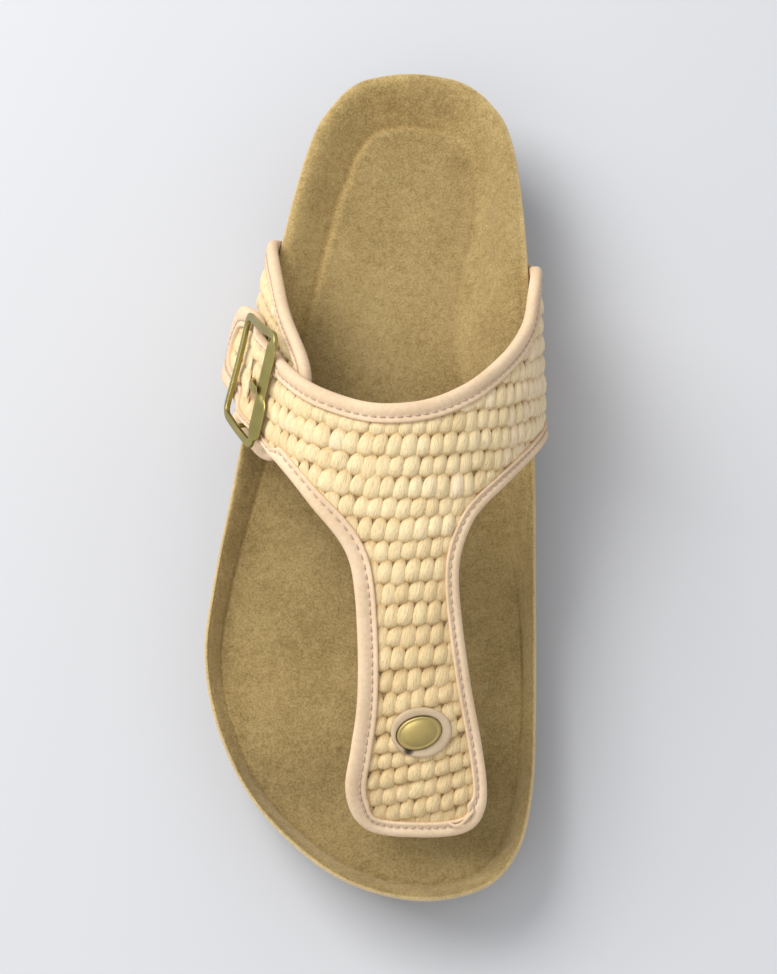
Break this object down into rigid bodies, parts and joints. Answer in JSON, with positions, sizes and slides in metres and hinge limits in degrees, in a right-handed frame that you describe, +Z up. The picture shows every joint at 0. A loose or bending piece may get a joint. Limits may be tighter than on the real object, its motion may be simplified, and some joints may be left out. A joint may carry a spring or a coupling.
{
  "type": "toe post sandal",
  "caption": "Right toe post sandal: contoured cork footbed on a scalloped foam outsole, woven T strap with bound edges, side buckle and a riveted toe post.",
  "frame": {"origin": "centre of the bounding box in plan, on the plane the sole stands on", "axes": "+Z up, -Y towards the toe, +X towards the inner (big toe) side"},
  "size_m": [0.0982, 0.2538, 0.0742],
  "materials": {
    "outsole": "matte tan foam",
    "midsole": "dark-brown granular cork",
    "insole": "suede",
    "strap_upper": "woven raffia",
    "strap_upper_binding": "smooth edge tape",
    "strap_lateral": "woven raffia",
    "strap_lateral_binding": "smooth edge tape",
    "buckle_frame": "satin gold plate",
    "buckle_prong": "satin gold plate",
    "toe_post": "smooth covered post",
    "post_washer": "pale ring",
    "post_cap": "polished cap"
  },
  "bodies": {
    "root": {"outsole": "outsole", "midsole": "midsole", "insole": "insole", "strap_upper": "strap_upper", "strap_upper_binding": "strap_upper_binding", "strap_lateral": "strap_lateral", "strap_lateral_binding": "strap_lateral_binding", "buckle_frame": "buckle_frame", "buckle_prong": "buckle_prong", "toe_post": "toe_post", "post_washer": "post_washer", "post_cap": "post_cap"}
  },
  "joints": []
}
